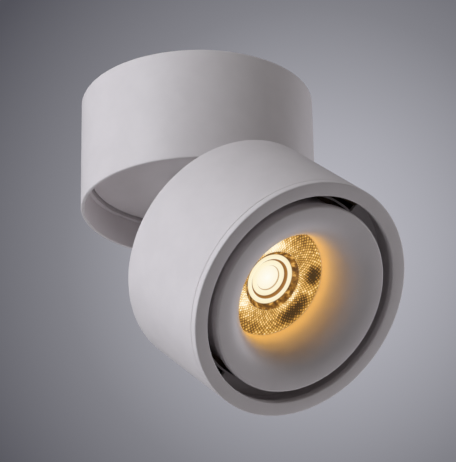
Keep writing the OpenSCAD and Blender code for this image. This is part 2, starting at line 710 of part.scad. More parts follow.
// Clear lens: a cone with a flange, a well in front and a well round the LED behind
module lens() color("khaki") head_pose() {
    tip_r = lens_tip_d / 2;
    well_r = lens_well_d / 2;
    flange_r = lens_r + lens_flange_w;
    low = lens_front_z;
    top = lens_front_z + lens_flange_t;
    tip_z = lens_tip_z - screw_fit * 2;
    rotate_extrude() polygon([[0, low + lens_well_depth], [well_r, low + lens_well_depth],
        [well_r + lens_well_flare, low], [flange_r, low], [flange_r, top], [lens_r, top], [tip_r, tip_z],
        [tip_r * 0.8, tip_z], [tip_r * 0.7, tip_z - tip_r / 3], [0, tip_z - tip_r * 0.4]]);
}

// Frame ring in the head that carries the lens, the baffle and the spring clips
module optic_frame() color("gainsboro") head_pose() difference() {
    translate([0, 0, frame_z]) ring(insert_r, frame_bore_r, frame_t);
    around(post_angles, post_ring) translate([0, 0, frame_z - 1])
        cylinder(r = screw_r + screw_fit, h = frame_t + 2);
    around(baffle_fix_angles, baffle_fix_ring) translate([0, 0, frame_z - 1])
        cylinder(r = screw_r + screw_fit, h = frame_t + 2);
}

// Three screws from the front through the frame into the heat sink's posts
module frame_screws() color("silver") head_pose() around(post_angles, post_ring)
    translate([0, 0, frame_z]) pan_screw_up(screw_r, frame_t + thread_l);

// Outline of the baffle's throat at the share x of its depth
function throat_r(x) = aperture_r
    + (baffle_r - baffle_edge_r - aperture_r) * (1 - pow(1 - pow(1 - x, throat_power), 1 / throat_power));

// Baffle: a face with a rounded throat round the aperture, a short rim and three screw bosses
module baffle() color("white") head_pose() {
    low = front_z + baffle_inset;
    depth = aperture_depth - baffle_inset;
    steps = 14;
    shares = [for (i = [0:steps]) pow(i / steps, 2)];
    throat = [for (i = [steps:-1:0]) [throat_r(shares[i]), low + depth * shares[i]]];
    edge = [for (a = [0:15:90]) [baffle_r - baffle_edge_r * (1 - sin(a)), low + baffle_edge_r * (1 - cos(a))]];
    back = [for (i = [1:steps]) [throat_r(shares[i]) + baffle_wall,
        low + depth * shares[i] + baffle_wall * (1 - shares[i])]];
    middle = [for (i = [0:steps]) [throat_r(shares[i]) + baffle_wall / 2,
        low + depth * shares[i] + baffle_wall / 2 * (1 - shares[i])]];
    rotate_extrude() polygon(concat(throat, edge, [[baffle_r, low + baffle_rim_h],
        [baffle_r - baffle_wall, low + baffle_rim_h], [baffle_r - baffle_wall, low + baffle_wall]], back));
    difference() {
        around(baffle_fix_angles, baffle_fix_ring) translate([0, 0, low + baffle_wall / 2])
            cylinder(r = boss_r, h = frame_z - low - baffle_wall / 2);
        rotate_extrude() polygon(concat([[0, low - 1], [baffle_r, low - 1], [baffle_r, middle[0][1]]], middle,
            [[aperture_r + baffle_wall / 2, frame_z + 1], [0, frame_z + 1]]));
        around(baffle_fix_angles, baffle_fix_ring) translate([0, 0, frame_z - boss_h])
            cylinder(r = screw_r + screw_fit, h = boss_h + 1);
    }
}

// Tube between the frame and the baffle's rim, which closes the open ring on its inner side
module baffle_tube() color("white") head_pose() {
    low = front_z + baffle_inset + baffle_wall + push_fit;
    translate([0, 0, low]) ring(baffle_tube_r, baffle_tube_r - baffle_wall, frame_z - bond - low);
}

// Three screws from behind through the frame into the baffle
module baffle_screws() color("silver") head_pose() around(baffle_fix_angles, baffle_fix_ring)
    translate([0, 0, frame_top_z]) pan_screw(screw_r, frame_t + thread_l);

// Bezel ring: the front band, its sleeve inside the shell and a flange with two slots
module bezel_ring() color("white") head_pose() difference() {
    rotate_extrude() translate([0, front_z]) polygon([[bezel_r + edge_chamfer, 0], [body_r - edge_chamfer, 0],
        [body_r, edge_chamfer], [body_r, bezel_h], [insert_r, bezel_h], [insert_r, sleeve_depth],
        [baffle_r + 2 * push_fit, sleeve_depth], [baffle_r + 2 * push_fit, sleeve_depth - sleeve_floor_t],
        [sleeve_r, sleeve_depth - sleeve_floor_t], [sleeve_r, bezel_h * 1.5], [bezel_r, bezel_h],
        [bezel_r, edge_chamfer]]);
    for (a = slot_angles) rotate([0, 0, a]) translate([0, 0, front_z + sleeve_depth - sleeve_floor_t - 1])
        rotate([0, 0, -slot_span / 2]) rotate_extrude(angle = slot_span)
            translate([baffle_r + 4 * push_fit + sleeve_fit, 0])
                square([sleeve_r - baffle_r - 4 * push_fit - 2 * sleeve_fit, sleeve_floor_t + 2]);
}

// Two leaf springs on the frame that reach through the bezel's slots and hold it
module spring_clips() color("goldenrod") head_pose() for (a = slot_angles) rotate([0, 0, a]) {
    leaf_x = (baffle_r + sleeve_r) / 2;
    translate([leaf_x, -leaf_w / 2, leaf_low_z]) cube([leaf_t, leaf_w, frame_z - leaf_low_z]);
    translate([leaf_x - leaf_foot, -leaf_w / 2, frame_z - leaf_t]) cube([leaf_foot + leaf_t, leaf_w, leaf_t]);
    translate([leaf_x, leaf_w / 2, leaf_low_z]) rotate([90, 0, 0]) linear_extrude(leaf_w)
        polygon([[0, 0], [hook * 0.8, -hook], [hook, -hook * 0.8], [leaf_t, hook / 5]]);
}

ceiling_plate();
ceiling_grommet();
side_screws();
base_shell();
cavity_ring();
partition();
partition_screws();
driver_case();
driver_cover();
driver_screws();
terminal_block();
terminal_screws();
hollow_nipple();
nipple_nut();
friction_washer();
swivel_plate();
hinge_bracket();
bracket_screws();
hinge_pin();
hinge_nut();
hinge_washers();
hinge_arm();
arm_screws();
head_shell();
clamp_ring();
back_plate();
back_plate_screws();
back_grommet();
heat_sink();
thermal_pad();
led_board();
led_emitter();
led_holder();
led_holder_screws();
lens_cup();
lens();
optic_frame();
frame_screws();
baffle();
baffle_tube();
baffle_screws();
bezel_ring();
spring_clips();
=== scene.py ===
import json
import math

import bpy
from mathutils import Matrix, Vector


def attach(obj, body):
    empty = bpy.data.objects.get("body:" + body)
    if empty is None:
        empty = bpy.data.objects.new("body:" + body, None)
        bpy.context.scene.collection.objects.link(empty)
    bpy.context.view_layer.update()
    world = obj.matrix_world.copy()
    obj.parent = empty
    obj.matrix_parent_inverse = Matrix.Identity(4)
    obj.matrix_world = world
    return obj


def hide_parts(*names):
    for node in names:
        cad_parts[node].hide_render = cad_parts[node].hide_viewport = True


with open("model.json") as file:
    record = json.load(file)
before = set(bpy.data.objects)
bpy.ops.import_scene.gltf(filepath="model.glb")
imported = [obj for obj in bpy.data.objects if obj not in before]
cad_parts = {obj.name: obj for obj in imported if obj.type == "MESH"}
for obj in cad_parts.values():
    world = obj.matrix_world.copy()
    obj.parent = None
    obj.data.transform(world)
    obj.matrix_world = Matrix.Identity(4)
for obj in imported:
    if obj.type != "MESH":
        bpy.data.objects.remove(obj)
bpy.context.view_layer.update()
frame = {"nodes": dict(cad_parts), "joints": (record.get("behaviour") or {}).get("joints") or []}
nodes = frame["nodes"]
MM = 0.001

# The camera stands below the light and looks up at it from the side that the head points to.
# It is a long lens at about a metre, turned a degree about its own axis.
CAMERA_AT = Vector((644.82, -589.29, -461.30)) * MM
CAMERA_HEADING, CAMERA_PITCH, CAMERA_ROLL = 46.76, 114.66, -1.10
CAMERA_LENS, CAMERA_SENSOR = 176.62, 36.0
CAMERA_NEAR, CAMERA_FAR = 0.05, 20

camera = bpy.data.objects.new("camera", bpy.data.cameras.new("camera"))
bpy.context.scene.collection.objects.link(camera)
camera.data.lens, camera.data.sensor_width = CAMERA_LENS, CAMERA_SENSOR
camera.data.clip_start, camera.data.clip_end = CAMERA_NEAR, CAMERA_FAR
camera.location = CAMERA_AT
heading = Matrix.Rotation(math.radians(CAMERA_HEADING), 3, "Z")
pitch = Matrix.Rotation(math.radians(CAMERA_PITCH), 3, "X")
roll = Matrix.Rotation(math.radians(CAMERA_ROLL), 3, "Z")
camera.rotation_euler = (heading @ pitch @ roll).to_euler()
bpy.context.scene.camera = camera
bpy.context.scene.view_settings.view_transform = "Standard"

# The studio: a pale painted floor well below the light, and a grey backdrop with a soft pool of
# light on it behind the head. The backdrop shows to the camera, in gloss and through glass only.
FLOOR_DROP, FLOOR_SIZE, FLOOR_GREY, FLOOR_ROUGHNESS = 1.25, 14.0, "#C9C9CB", 0.8
POOL_TOWARDS = Vector((-0.6406, 0.6506, 0.4079)).normalized()
POOL_REACH = 0.18
POOL_SHADES = [(0.0, "#C2C2CA"), (0.30, "#A9A9B1"), (0.60, "#828289"), (0.95, "#53535B")]
ROOM_LIGHT, ROOM_TINT = 0.115, "#FFF3E6"


def paint(code):
    """An sRGB hex colour as linear red, green, blue and alpha."""
    parts = [int(code[i : i + 2], 16) / 255 for i in (1, 3, 5)]
    return (*(c / 12.92 if c <= 0.04045 else ((c + 0.055) / 1.055) ** 2.4 for c in parts), 1.0)


def new_material(name):
    """A new material, its node tree and its shader."""
    material = bpy.data.materials.new(name)
    material.use_nodes = True
    return material, material.node_tree, material.node_tree.nodes["Principled BSDF"]


def add_node(tree, kind, inputs=None, stops=None, **settings):
    """Adds a node, sets its properties, and fills its sockets with values or other sockets.

    A colour ramp's stops are places with their sRGB colours.
    """
    node = tree.nodes.new(kind)
    for name, value in settings.items():
        setattr(node, name, value)
    for key, value in (inputs or {}).items():
        if isinstance(value, bpy.types.NodeSocket):
            tree.links.new(value, node.inputs[key])
        else:
            node.inputs[key].default_value = value
    if stops:
        elements = node.color_ramp.elements
        elements.remove(elements[1])
        elements[0].position, elements[0].color = stops[0][0], paint(stops[0][1])
        for position, colour in stops[1:]:
            elements.new(position).color = paint(colour)
    return node


bpy.ops.object.select_all(action="DESELECT")
bpy.ops.mesh.primitive_plane_add(size=FLOOR_SIZE, location=(0, 0, -FLOOR_DROP))
floor = bpy.context.object
floor.name = "floor"
painted_floor, _, shader = new_material("painted_floor")
shader.inputs["Base Color"].default_value = paint(FLOOR_GREY)
shader.inputs["Roughness"].default_value = FLOOR_ROUGHNESS
floor.data.materials.append(painted_floor)

world = bpy.data.worlds.new("studio")
bpy.context.scene.world = world
world.use_nodes = True
sky = world.node_tree
sky.nodes.clear()
towards = add_node(sky, "ShaderNodeTexCoord").outputs["Generated"]
facing = add_node(
    sky, "ShaderNodeVectorMath", {0: towards, 1: POOL_TOWARDS}, operation="DOT_PRODUCT")
away = add_node(sky, "ShaderNodeMath", {0: facing.outputs["Value"]}, operation="ARCCOSINE")
reach = add_node(
    sky, "ShaderNodeMath", {0: away.outputs[0], 1: POOL_REACH}, operation="DIVIDE", use_clamp=True)
pool = add_node(sky, "ShaderNodeValToRGB", {"Fac": reach.outputs[0]}, POOL_SHADES)
backdrop = add_node(sky, "ShaderNodeBackground", {"Color": pool.outputs["Color"]})
room = add_node(
    sky, "ShaderNodeBackground", {"Color": paint(ROOM_TINT), "Strength": ROOM_LIGHT})
rays = add_node(sky, "ShaderNodeLightPath").outputs
shown = rays["Is Camera Ray"]
for ray in ("Is Glossy Ray", "Is Transmission Ray"):
    either = add_node(sky, "ShaderNodeMath", {0: shown, 1: rays[ray]}, operation="MAXIMUM")
    shown = either.outputs[0]
mixed = add_node(
    sky, "ShaderNodeMixShader", {0: shown, 1: room.outputs[0], 2: backdrop.outputs[0]})
add_node(sky, "ShaderNodeOutputWorld", {"Surface": mixed.outputs[0]})

# The lamps are large soft discs, so the shadows on the matt coat are broad. Three stand left of
# the camera, one of them high and one low. Two behind the light give the far edge and the
# throat's sheen. A row is a name, azimuth, elevation, distance and size in m, watts and colour.
LAMP_TARGET = Vector((25, 0, -60)) * MM
LAMPS = [
    ("key", 0, 10, 1.5, 0.9, 11.0, "#F6FAFF"),
    ("left", -50, -20, 1.5, 0.9, 8.0, "#F6FAFF"),
    ("above", 10, 50, 1.5, 0.9, 5.5, "#F6FAFF"),
    ("edge", 162, 4, 1.5, 0.8, 8.5, "#F6F8FF"),
    ("under", 185, -34, 1.5, 0.9, 3.8, "#FCF8FC"),
]

for name, azimuth, elevation, distance, size, power, colour in LAMPS:
    lamp = bpy.data.objects.new(name, bpy.data.lights.new(name, "AREA"))
    bpy.context.scene.collection.objects.link(lamp)
    lamp.data.shape, lamp.data.size = "DISK", size
    lamp.data.energy, lamp.data.color = power, paint(colour)[:3]
    a, e = math.radians(azimuth), math.radians(elevation)
    back = Vector((math.sin(a) * math.cos(e), -math.cos(a) * math.cos(e), math.sin(e)))
    lamp.location = LAMP_TARGET + back * distance
    lamp.rotation_euler = (-back).to_track_quat("-Z", "Y").to_euler()

# Canister: a turned aluminium tube with softly broken edges and two holes for the side screws.
# Its matt powder coat is near white, with a fine even grain and hardly any gloss. The grain and
# the faint clouds in the coat are drawn a little coarser than they are, so that they show.
TUBE_R, TUBE_WALL, CANISTER_H = 50.0, 1.5, 50.0
OUTER_ROUND, INNER_ROUND, TOP_ROUND = 0.7, 0.25, 0.15
SIDE_SCREW_ANGLE, SIDE_SCREW_DROP, SIDE_SCREW_R = 47.5, 7.0, 2.05
DRILL_SIDES, DRILL_LENGTH = 48, 8.0
COAT_WHITE, COAT_SHADE, COAT_ROUGHNESS = "#DFD9DB", "#DCD6D8", 0.5
CLOUD_MM, CLOUD_DETAIL, CLOUD_EDGES = 9.0, 2.0, (0.35, 0.65)
GRAIN_MM, GRAIN_DETAIL, GRAIN_HEIGHT_MM, GRAIN_STRENGTH = 0.45, 3.0, 0.02, 0.6
POLE_MM, WELD_MM = 0.0004, 0.001
SMOOTH_BELOW = 32


def softened(corners, steps=4):
    """Rounds a closed outline, whose corners are radius, height and rounding in mm.

    A corner with a rounding of 0 stays sharp.
    """
    places = [Vector(corner[:2]) for corner in corners]
    outline = []
    for index, (here, corner) in enumerate(zip(places, corners)):
        rounding = corner[2]
        if not rounding:
            outline.append(here)
            continue
        before = places[index - 1] - here
        after = places[(index + 1) % len(places)] - here
        cut = rounding / math.tan(before.angle(after) / 2)
        start, end = here + before.normalized() * cut, here + after.normalized() * cut
        for share in (step / steps for step in range(steps + 1)):
            outline.append(start.lerp(here, share).lerp(here.lerp(end, share), share))
    return outline


def turned(name, outline, segments=256):
    """Turns an outline of radius and height in mm: a circle is extruded and resized along it.

    The outline is closed, or it runs from the axis to the axis. There its circles are too small
    to see, and the vertices merge into a pole.
    """
    points = [(max(point[0], POLE_MM), point[1]) for point in outline]
    closing = points[:1] if max(points[0][0], points[-1][0]) > POLE_MM else []
    radius, height = points[0]
    bpy.ops.object.select_all(action="DESELECT")
    bpy.ops.mesh.primitive_circle_add(
        vertices=segments, radius=radius * MM, location=(0, 0, height * MM))
    piece = bpy.context.object
    piece.name = piece.data.name = name
    bpy.ops.object.transform_apply(location=True, rotation=True, scale=True)
    bpy.ops.object.mode_set(mode="EDIT")
    bpy.ops.mesh.select_all(action="SELECT")
    for next_radius, next_height in points[1:] + closing:
        rise, grow = (next_height - height) * MM, next_radius / radius
        bpy.ops.mesh.extrude_region_move(TRANSFORM_OT_translate={"value": (0, 0, rise)})
        bpy.ops.transform.resize(value=(grow, grow, 1), center_override=(0, 0, next_height * MM))
        radius, height = next_radius, next_height
    bpy.ops.mesh.select_all(action="SELECT")
    bpy.ops.mesh.remove_doubles(threshold=WELD_MM * MM)
    bpy.ops.mesh.normals_make_consistent(inside=False)
    bpy.ops.object.mode_set(mode="OBJECT")
    return piece


def pick(piece):
    """Makes a piece the active one and the only one selected."""
    bpy.ops.object.select_all(action="DESELECT")
    piece.select_set(True)
    bpy.context.view_layer.objects.active = piece


def finish_piece(piece, body, slot, material, *replaced):
    """Smooths a piece, gives it its material, and hangs it on its body."""
    pick(piece)
    bpy.ops.object.shade_smooth_by_angle(angle=math.radians(SMOOTH_BELOW))
    piece.data.materials.append(material)
    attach(piece, body)
    if replaced:
        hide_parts(*replaced)


powder_coat, tree, shader = new_material("matt_white_powder_coat")
place = add_node(tree, "ShaderNodeTexCoord").outputs["Object"]
clouds = add_node(tree, "ShaderNodeTexNoise", {
    "Vector": place, "Scale": 1 / (CLOUD_MM * MM), "Detail": CLOUD_DETAIL})
tone = add_node(tree, "ShaderNodeValToRGB", {"Fac": clouds.outputs["Fac"]},
                list(zip(CLOUD_EDGES, (COAT_SHADE, COAT_WHITE))))
grain = add_node(tree, "ShaderNodeTexNoise", {
    "Vector": place, "Scale": 1 / (GRAIN_MM * MM), "Detail": GRAIN_DETAIL})
peel = add_node(tree, "ShaderNodeBump", {
    "Height": grain.outputs["Fac"], "Distance": GRAIN_HEIGHT_MM * MM, "Strength": GRAIN_STRENGTH})
tree.links.new(tone.outputs["Color"], shader.inputs["Base Color"])
tree.links.new(peel.outputs["Normal"], shader.inputs["Normal"])
shader.inputs["Roughness"].default_value = COAT_ROUGHNESS

bore = TUBE_R - TUBE_WALL
canister = turned("canister_tube", softened([
    (bore, 0, TOP_ROUND), (TUBE_R, 0, OUTER_ROUND),
    (TUBE_R, -CANISTER_H, OUTER_ROUND), (bore, -CANISTER_H, INNER_ROUND)]))
for turn in (SIDE_SCREW_ANGLE, SIDE_SCREW_ANGLE + 180):
    out = Vector((math.cos(math.radians(turn)), math.sin(math.radians(turn)), 0))
    bpy.ops.object.select_all(action="DESELECT")
    bpy.ops.mesh.primitive_cylinder_add(
        vertices=DRILL_SIDES, radius=SIDE_SCREW_R * MM, depth=DRILL_LENGTH * MM,
        rotation=out.to_track_quat("Z", "Y").to_euler(),
        location=out * TUBE_R * MM - Vector((0, 0, SIDE_SCREW_DROP * MM)))
    drill = bpy.context.object
    cut = canister.modifiers.new("screw_hole", "BOOLEAN")
    cut.object, cut.operation, cut.solver = drill, "DIFFERENCE", "EXACT"
    pick(canister)
    bpy.ops.object.modifier_apply(modifier=cut.name)
    bpy.data.objects.remove(drill)
finish_piece(canister, "canister", "white_coat", powder_coat, "base_shell")

# Head: a plain tube of the same stock, open at the back, with a small break at the seam behind
# the bezel. It is drawn hanging straight down and turned about the hinge pin to its rest tilt.
HEAD_BACK, HEAD_FRONT, BEZEL_BAND = -52.7, -105.2, 3.0
SEAM, SEAM_ROUND = 0.15, 0.12

tilt = next(joint for joint in frame["joints"] if joint["name"] == "tilt")
pin = Vector(tilt["pos_m"])
lift = Matrix.Rotation(-math.radians(tilt["range_deg"][0]), 4, Vector(tilt["axis"]))
tilt_to_rest = Matrix.Translation(pin) @ lift @ Matrix.Translation(-pin)


def hang_on_head(piece, slot, material, *replaced):
    """Turns a piece of the straight-hanging head to the rest tilt and finishes it on its body."""
    pick(piece)
    piece.matrix_world = tilt_to_rest @ piece.matrix_world
    bpy.ops.object.transform_apply(location=True, rotation=True, scale=True)
    finish_piece(piece, "head", slot, material, *replaced)


band_back = HEAD_FRONT + BEZEL_BAND
head_tube = turned("head_tube", softened([
    (bore, HEAD_BACK, INNER_ROUND), (TUBE_R, HEAD_BACK, OUTER_ROUND),
    (TUBE_R, band_back + SEAM, SEAM_ROUND), (bore, band_back + SEAM, 0)]))
hang_on_head(head_tube, "white_coat", powder_coat, "head_shell")

# Bezel: a turned aluminium front band with a sleeve inside the tube, and a flange that closes the
# open ring. Two slots are milled through the flange for the spring clips that hold it. It is
# turned with a segment for each whole degree, so that a slot ends between two faces.
BEZEL_R, SLEEVE_IN_R, SLEEVE_OUT_R, FLANGE_IN_R = 44.2, 46.2, 48.2, 40.35
SLEEVE_DEPTH, SLEEVE_STEP, FLANGE_T = 14.0, 1.5, 1.5
LIP_ROUND, SLEEVE_ROUND, FLANGE_ROUND = 0.4, 0.3, 0.2
SLOTS, SLOT_IN_R, SLOT_OUT_R = ((-3, 19), (194, 216)), 41.15, 46.0
WHOLE_DEGREES, NEARLY = 360, 0.01

flange_back = HEAD_FRONT + SLEEVE_DEPTH
flange_front = flange_back - FLANGE_T
bezel = turned("bezel", softened([
    (BEZEL_R, HEAD_FRONT, LIP_ROUND), (TUBE_R, HEAD_FRONT, OUTER_ROUND),
    (TUBE_R, band_back, SEAM_ROUND), (SLEEVE_OUT_R, band_back, 0),
    (SLEEVE_OUT_R, flange_back, SLEEVE_ROUND), (SLOT_OUT_R, flange_back, 0),
    (SLOT_IN_R, flange_back, 0), (FLANGE_IN_R, flange_back, FLANGE_ROUND),
    (FLANGE_IN_R, flange_front, FLANGE_ROUND), (SLOT_IN_R, flange_front, 0),
    (SLOT_OUT_R, flange_front, 0), (SLEEVE_IN_R, flange_front, 0),
    (SLEEVE_IN_R, band_back + SLEEVE_STEP, SLEEVE_ROUND), (BEZEL_R, band_back, SLEEVE_ROUND),
]), segments=WHOLE_DEGREES)


def select_parts(piece, kind, wanted):
    """Selects the vertices, edges or faces of a piece that a test picks, and goes to edit mode."""
    bpy.ops.object.mode_set(mode="EDIT")
    bpy.ops.mesh.select_mode(type=kind)
    bpy.ops.mesh.select_all(action="DESELECT")
    bpy.ops.object.mode_set(mode="OBJECT")
    mesh = piece.data
    for part in {"VERT": mesh.vertices, "EDGE": mesh.edges, "FACE": mesh.polygons}[kind]:
        part.select = wanted(part)
    bpy.ops.object.mode_set(mode="EDIT")


def in_slot(face, low, high):
    """Whether a face lies on the flange's front or back, between a slot's ends and edges."""
    x, y, z = face.center / MM
    on_flange = abs(face.normal.z) > 1 - NEARLY and z > flange_front - NEARLY
    past_low = (math.degrees(math.atan2(y, x)) - low) % 360
    return on_flange and SLOT_IN_R < math.hypot(x, y) < SLOT_OUT_R and past_low < high - low


for low, high in SLOTS:
    select_parts(bezel, "FACE", lambda face: in_slot(face, low, high))
    bpy.ops.mesh.delete(type="FACE")
    bpy.ops.mesh.select_mode(type="EDGE")
    bpy.ops.mesh.select_non_manifold()
    bpy.ops.mesh.bridge_edge_loops()
bpy.ops.mesh.select_all(action="SELECT")
bpy.ops.mesh.normals_make_consistent(inside=False)
bpy.ops.object.mode_set(mode="OBJECT")
hang_on_head(bezel, "white_coat", powder_coat, "bezel_ring")

# Baffle: a turned aluminium ring whose face rolls into a deep throat round the lens. The throat
# is a superellipse, so it is nearly flat at the outer edge and nearly straight at the aperture.
BAFFLE_R, BAFFLE_INSET, BAFFLE_EDGE_R, BAFFLE_WALL, BAFFLE_RIM = 39.75, 0.45, 1.0, 1.5, 4.0
APERTURE_R, APERTURE_DEPTH, THROAT_POWER, THROAT_STEPS = 23.3, 21.5, 2.7, 30
EDGE_DEGREES = range(10, 91, 10)


def throat_radius(share):
    """The throat's radius at a share of its depth, from the face at 0 to the aperture at 1."""
    curve = (1 - (1 - share) ** THROAT_POWER) ** (1 / THROAT_POWER)
    return APERTURE_R + (BAFFLE_R - BAFFLE_EDGE_R - APERTURE_R) * (1 - curve)


face_z, throat_depth = HEAD_FRONT + BAFFLE_INSET, APERTURE_DEPTH - BAFFLE_INSET
shares = [(step / THROAT_STEPS) ** 2 for step in range(THROAT_STEPS + 1)]
throat = [(throat_radius(share), face_z + throat_depth * share) for share in reversed(shares)]
edge = [(BAFFLE_R - BAFFLE_EDGE_R * (1 - math.sin(t)), face_z + BAFFLE_EDGE_R * (1 - math.cos(t)))
        for t in map(math.radians, EDGE_DEGREES)]
rim = [(BAFFLE_R, face_z + BAFFLE_RIM), (BAFFLE_R - BAFFLE_WALL, face_z + BAFFLE_RIM),
       (BAFFLE_R - BAFFLE_WALL, face_z + BAFFLE_WALL)]
behind = [
    (throat_radius(share) + BAFFLE_WALL, face_z + throat_depth * share + BAFFLE_WALL * (1 - share))
    for share in shares[1:]]
baffle = turned("baffle_cone", throat + edge + rim + behind)
hang_on_head(baffle, "white_coat", powder_coat, "baffle")

# Lens: one clear moulding, lit from behind. Its front is a shallow dish of small pillowed diamonds
# that swirl both ways, round a stepped well in which the LED shows as bright rings.
LENS_FRONT = HEAD_FRONT + APERTURE_DEPTH
DISH_OUT_R, DISH_IN_R, DISH_RECESS, DISH_DROP = 23.2, 12.7, 0.15, 0.25
FACETS_ROUND, FACET_ROWS, FACET_PILLOW = 80, 12, 0.13
WELL, WELL_FLOOR = [(10.7, 2.5), (8.7, 2.5), (7.7, 3.8), (5.5, 3.8), (5.2, 4.5)], 4.3
FLANGE_R, FLANGE_BACK, CONE_R, TIP_R, TIP_DROP, TIP_HOLLOW = 25.2, 1.5, 23.0, 10.5, 12.9, 4.0

facet_step = (DISH_OUT_R - DISH_IN_R) / FACET_ROWS
dish = [(DISH_OUT_R - facet_step * row, DISH_RECESS + DISH_DROP * row / FACET_ROWS)
        for row in range(FACET_ROWS + 1)]
lens_outline = [
    (0, WELL_FLOOR), *reversed(WELL), *reversed(dish), (FLANGE_R, DISH_RECESS),
    (FLANGE_R, FLANGE_BACK), (CONE_R, FLANGE_BACK), (TIP_R, TIP_DROP), (0, TIP_DROP - TIP_HOLLOW)]
lens = turned("faceted_lens", [(radius, LENS_FRONT + drop) for radius, drop in lens_outline],
              segments=FACETS_ROUND)


def rings_of(part):
    """The number of the diamonds' ring at each corner of a part, with None off the dish."""
    rings = []
    for index in getattr(part, "vertices", [part.index]):
        x, y, z = lens.data.vertices[index].co / MM
        ring = (DISH_OUT_R - math.hypot(x, y)) / facet_step
        in_front = z < LENS_FRONT + DISH_RECESS + DISH_DROP + NEARLY
        on_dish = in_front and -NEARLY < ring < FACET_ROWS + NEARLY
        rings.append(round(ring) if on_dish else None)
    return rings


def every_other_ring(vertex):
    """Whether a vertex is on an odd ring, which is turned by half a diamond."""
    return rings_of(vertex)[0] in range(1, FACET_ROWS, 2)


def inside_a_diamond(edge):
    """Whether an edge runs along a ring between two rows of triangles, and so splits a diamond."""
    start, end = rings_of(edge)
    return start == end and start in range(1, FACET_ROWS)


def on_the_dish(face):
    """Whether all of a face's corners are on the dish."""
    return None not in rings_of(face)


select_parts(lens, "VERT", every_other_ring)
bpy.ops.transform.rotate(
    value=math.pi / FACETS_ROUND, orient_axis="Z", center_override=(0, 0, 0))
select_parts(lens, "FACE", on_the_dish)
bpy.ops.mesh.quads_convert_to_tris(quad_method="SHORTEST_DIAGONAL")
select_parts(lens, "EDGE", inside_a_diamond)
bpy.ops.mesh.dissolve_edges(use_verts=False)
select_parts(lens, "FACE", on_the_dish)
bpy.ops.mesh.poke(offset=FACET_PILLOW * MM)
bpy.ops.object.mode_set(mode="OBJECT")

# The lit lens is drawn by where a point lies: polar places on the head's own axis, a painted
# glint tone for each diamond, broad fields of painted highlight and painted shade, and brown
# painted shade on the steps between the bright rings of the well. A field's row is its angle,
# reach in degrees, radius, reach in mm, and how much it adds.
# Each diamond gets a painted glint of a random level and a painted highlight in its middle.
FACET_GLINT_LEVELS, CROWN_REACH, CROWN_HIGHLIGHT = (0.235, 0.535), 0.55, 0.5
# The fields are broad painted highlights where they add, and painted shade where they take away.
LIGHT_AND_SHADE_FIELDS = [
    (67, 18, 19.8, 4.8, -0.80),
    (117, 38, 19.4, 5.0, -0.75),
    (90, 9, 18.5, 7.0, 0.18),
    (14, 28, 21.2, 4.5, -0.22),
    (-175, 32, 20.8, 4.5, -0.20),
    (-29, 46, 14.6, 6.5, 0.54),
    (-142, 38, 15.0, 6.0, 0.46),
    (100, 52, 13.6, 2.0, 0.35),
]
# The dish's tones run from painted shade through gold to painted highlight.
DISH_TONES = [(0.0, "#3A2A16"), (0.22, "#6E4C24"), (0.45, "#B7853A"), (0.62, "#DCA64E"),
              (0.8, "#F8D384"), (1.0, "#FFF7DE")]
# The brown stops between the well's bright rings are painted shade on its steps.
CORE_TONES = [(0.0, "#FDFBF2"), (5.1, "#FCF4DC"), (5.3, "#B98A4C"), (5.5, "#FCF5DA"),
              (7.6, "#FBEFCC"), (7.75, "#8A5A28"), (8.55, "#A9763A"), (8.7, "#FCF5DA"),
              (10.55, "#FBEDC6"), (10.75, "#7A5124"), (12.4, "#9C7038"), (12.7, "#E0B060")]
# The well's wall is painted brown shade, broken by painted gold glints.
WALL_TONES = [(0.38, "#5E3E1C"), (0.55, "#946426"), (0.66, "#E0AA58")]
WALL_R, WALL_GLINT_MM, WALL_GLINT_DETAIL = WELL[0][0] + 0.1, 2.0, 3.0
GLOW, GLOW_R, GLOW_REACH, GLOW_STRENGTH = "#F3B750", DISH_OUT_R - 4.0, 5.0, 4.2
LENS_SHADE, LENS_ROUGHNESS = "#2A2118", 0.25

lit_lens, tree, shader = new_material("clear_lens_painted_glints_and_shade")


def hump(value, centre, reach, height):
    """A smooth hump of a height round a centre, which falls to nothing at its reach."""
    off = add_node(tree, "ShaderNodeMath", {0: value, 1: centre}, operation="SUBTRACT")
    away = add_node(tree, "ShaderNodeMath", {0: off.outputs[0]}, operation="ABSOLUTE")
    fall = add_node(tree, "ShaderNodeMapRange", {
        "Value": away.outputs[0], "From Max": reach, "To Min": height, "To Max": 0.0,
    }, interpolation_type="SMOOTHSTEP")
    return fall.outputs["Result"]


untilt = tilt_to_rest.inverted()
place = add_node(tree, "ShaderNodeTexCoord").outputs["Object"]
in_head = add_node(tree, "ShaderNodeMapping", {
    "Vector": place, "Scale": (1 / MM,) * 3, "Rotation": untilt.to_euler(),
    "Location": untilt.translation / MM}).outputs["Vector"]
x, y = add_node(tree, "ShaderNodeSeparateXYZ", {"Vector": in_head}).outputs[:2]
angle = add_node(tree, "ShaderNodeMath", {0: y, 1: x}, operation="ARCTAN2").outputs[0]
off_axis = add_node(tree, "ShaderNodeCombineXYZ", {0: x, 1: y}).outputs[0]
radius = add_node(
    tree, "ShaderNodeVectorMath", {0: off_axis}, operation="LENGTH").outputs["Value"]

